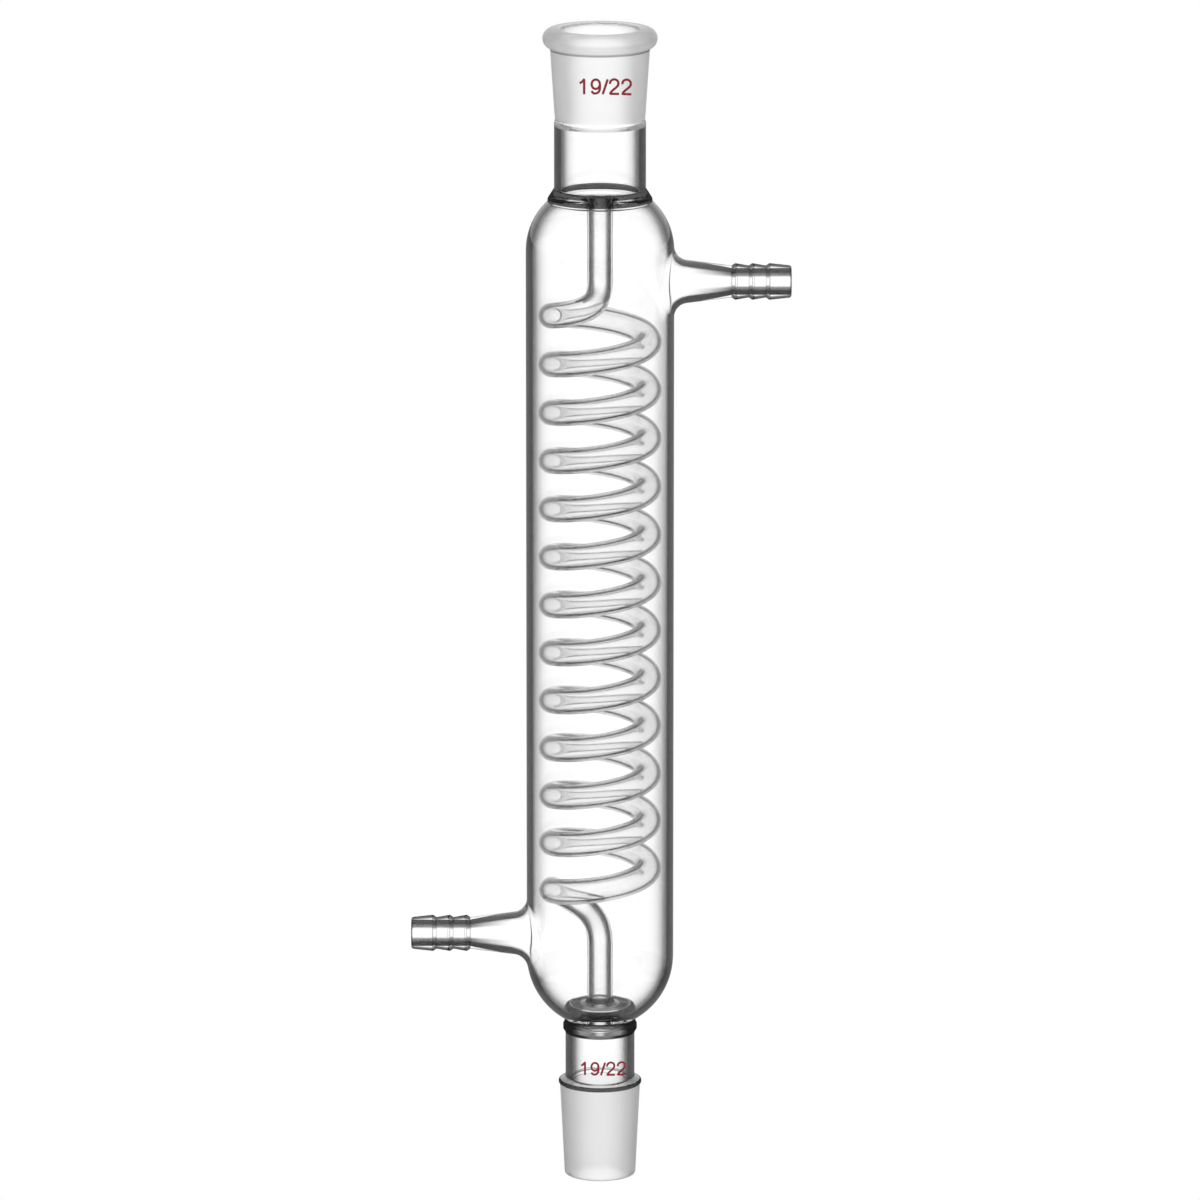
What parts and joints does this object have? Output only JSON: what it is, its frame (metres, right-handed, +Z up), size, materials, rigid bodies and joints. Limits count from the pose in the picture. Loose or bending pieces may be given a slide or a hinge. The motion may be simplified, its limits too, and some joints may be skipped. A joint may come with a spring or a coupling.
{
  "type": "coil condenser",
  "caption": "Glass coil condenser: a coiled vapour tube sealed in a water jacket, with a ground socket on top, a ground cone below and barbed side arms for water hoses.",
  "frame": {"origin": "centre of the lower ground cone's large end", "axes": "+Z up the condenser's axis, towards the socket; +X towards the upper water arm; +Y away from the side that is printed"},
  "size_m": [0.0884, 0.0342, 0.2724],
  "materials": {
    "clear_glass": "clear fire-polished glass, with the socket and the cone ground to a fine white frost"
  },
  "bodies": {
    "root": {"condenser": "clear_glass"}
  },
  "joints": []
}
